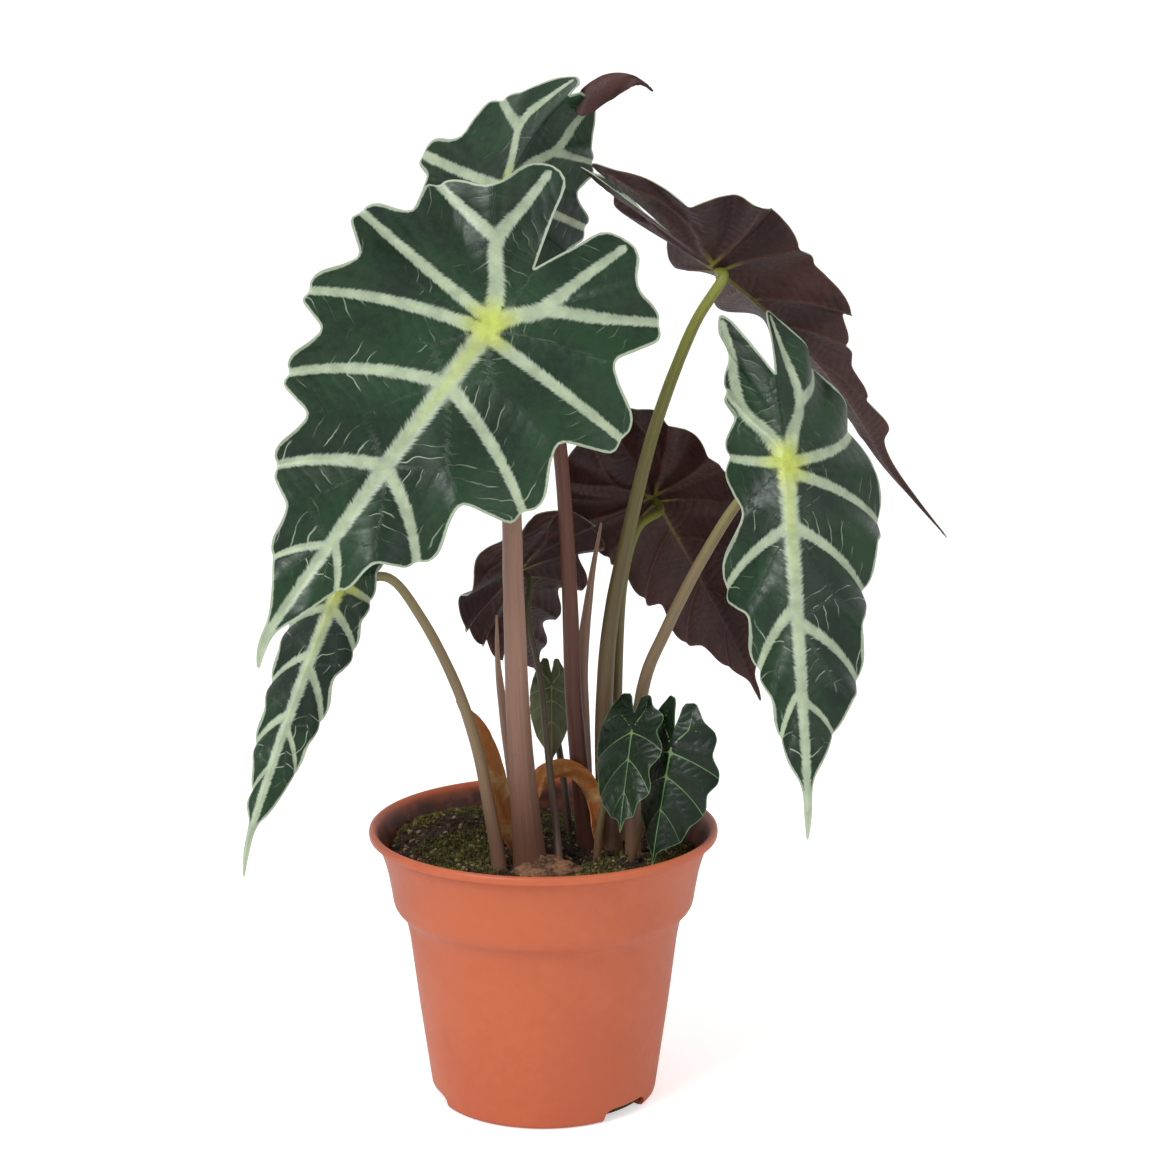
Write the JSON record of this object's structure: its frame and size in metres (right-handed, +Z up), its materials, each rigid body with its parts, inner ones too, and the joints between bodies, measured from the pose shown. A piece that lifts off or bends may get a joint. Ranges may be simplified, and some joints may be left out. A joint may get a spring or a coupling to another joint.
{
  "type": "potted alocasia",
  "caption": "Potted alocasia with dark arrow-shaped leaves, pale veins and wavy margins on fleshy stalks, growing from soil in a round terracotta-coloured nursery pot.",
  "frame": {"origin": "centre of the pot's foot, on the surface it stands on", "axes": "+Z up along the pot's axis, -Y towards the side the large leaf faces, +X to the viewer's right"},
  "size_m": [0.2483, 0.1837, 0.3483],
  "materials": {
    "pot_plastic": "moulded, slightly satin",
    "soil": "damp crumbly soil with moss",
    "corm": "fibrous, matt",
    "leaf": "waxy upper side, satin, purple underside",
    "leaf_underside": "satin, underside faces the front",
    "stalk": "smooth fleshy stalk, satin",
    "sheath": "smooth, satin",
    "dry_bract": "papery, dry, matt"
  },
  "bodies": {
    "root": {"pot": "pot_plastic", "potting_soil": "soil", "corm": "corm", "petiole_front_large": "stalk", "blade_front_large": "leaf", "petiole_top": "stalk", "blade_top": "leaf", "petiole_back_right": "stalk", "blade_back_right": "leaf_underside", "petiole_right": "stalk", "blade_right": "leaf", "petiole_back_centre": "stalk", "blade_back_centre": "leaf_underside", "petiole_back_left": "stalk", "blade_back_left": "leaf_underside", "petiole_lower_left": "stalk", "blade_lower_left": "leaf", "petiole_small_left": "stalk", "blade_small_left": "leaf", "petiole_small_right": "stalk", "blade_small_right": "leaf", "petiole_small_back": "stalk", "blade_small_back": "leaf", "sheath_tall": "sheath", "sheath_front": "sheath", "dry_bract_left": "dry_bract", "dry_bract_arch": "dry_bract"}
  },
  "joints": []
}
